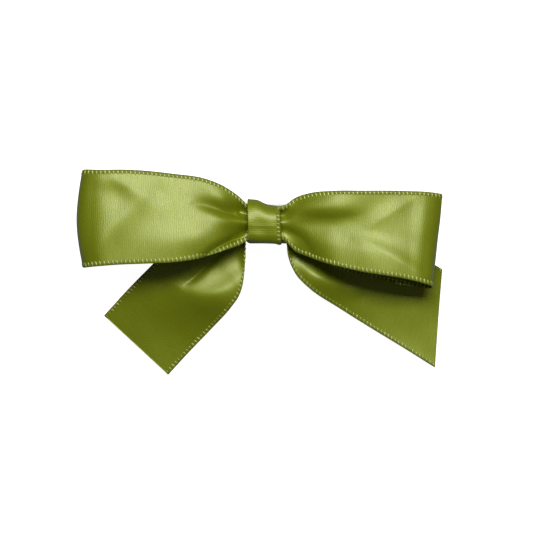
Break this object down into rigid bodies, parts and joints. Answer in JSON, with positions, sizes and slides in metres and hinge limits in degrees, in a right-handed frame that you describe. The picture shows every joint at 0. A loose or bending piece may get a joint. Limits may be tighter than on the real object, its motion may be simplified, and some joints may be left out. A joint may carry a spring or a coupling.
{
  "type": "pre-made gift bow",
  "caption": "Flat-lying satin ribbon bow with two folded loops, two tails behind them, a narrow centre wrap and an adhesive back.",
  "frame": {"origin": "middle of the release liner's back face, under the pad and on the plane that the bow lies on", "axes": "+Z out of the bow's face, +X towards the right loop, +Y towards the upper edge of the loops"},
  "size_m": [0.0963, 0.0538, 0.0168],
  "materials": {
    "ribbon_satin": "olive satin weave, soft sheen",
    "thread_cotton": "matte twisted thread",
    "glue": "set hot glue",
    "foam": "matte closed-cell foam",
    "liner_paper": "coated release paper"
  },
  "bodies": {
    "knot": {"waist_front": "ribbon_satin", "waist_middle": "ribbon_satin", "waist_back": "ribbon_satin", "binding_thread": "thread_cotton", "centre_wrap": "ribbon_satin", "wrap_glue": "glue", "adhesive_pad": "foam"},
    "liner": {"release_liner": "liner_paper"},
    "left_loop": {"left_loop": "ribbon_satin"},
    "right_loop": {"right_loop": "ribbon_satin"},
    "left_tail": {"left_tail": "ribbon_satin"},
    "right_tail": {"right_tail": "ribbon_satin"}
  },
  "joints": [
    {"name": "left_loop_lift", "type": "hinge", "parent": "knot", "child": "left_loop", "pos_m": [-0.0051, 0, 0.0084], "axis": [0, 1, 0], "range_deg": [0, 20]},
    {"name": "right_loop_lift", "type": "hinge", "parent": "knot", "child": "right_loop", "pos_m": [0.0051, 0, 0.0084], "axis": [0, -1, 0], "range_deg": [0, 20]},
    {"name": "left_tail_swing", "type": "hinge", "parent": "knot", "child": "left_tail", "pos_m": [-0.0046, -0.0004, 0.0059], "axis": [0, 0, -1], "range_deg": [-5, 12]},
    {"name": "right_tail_swing", "type": "hinge", "parent": "knot", "child": "right_tail", "pos_m": [0.0046, -0.0004, 0.0059], "axis": [0, 0, 1], "range_deg": [-5, 12]},
    {"name": "liner_peel", "type": "hinge", "parent": "knot", "child": "liner", "pos_m": [-0.0056, 0, 0.00035], "axis": [0, 1, 0], "range_deg": [0, 150]}
  ]
}
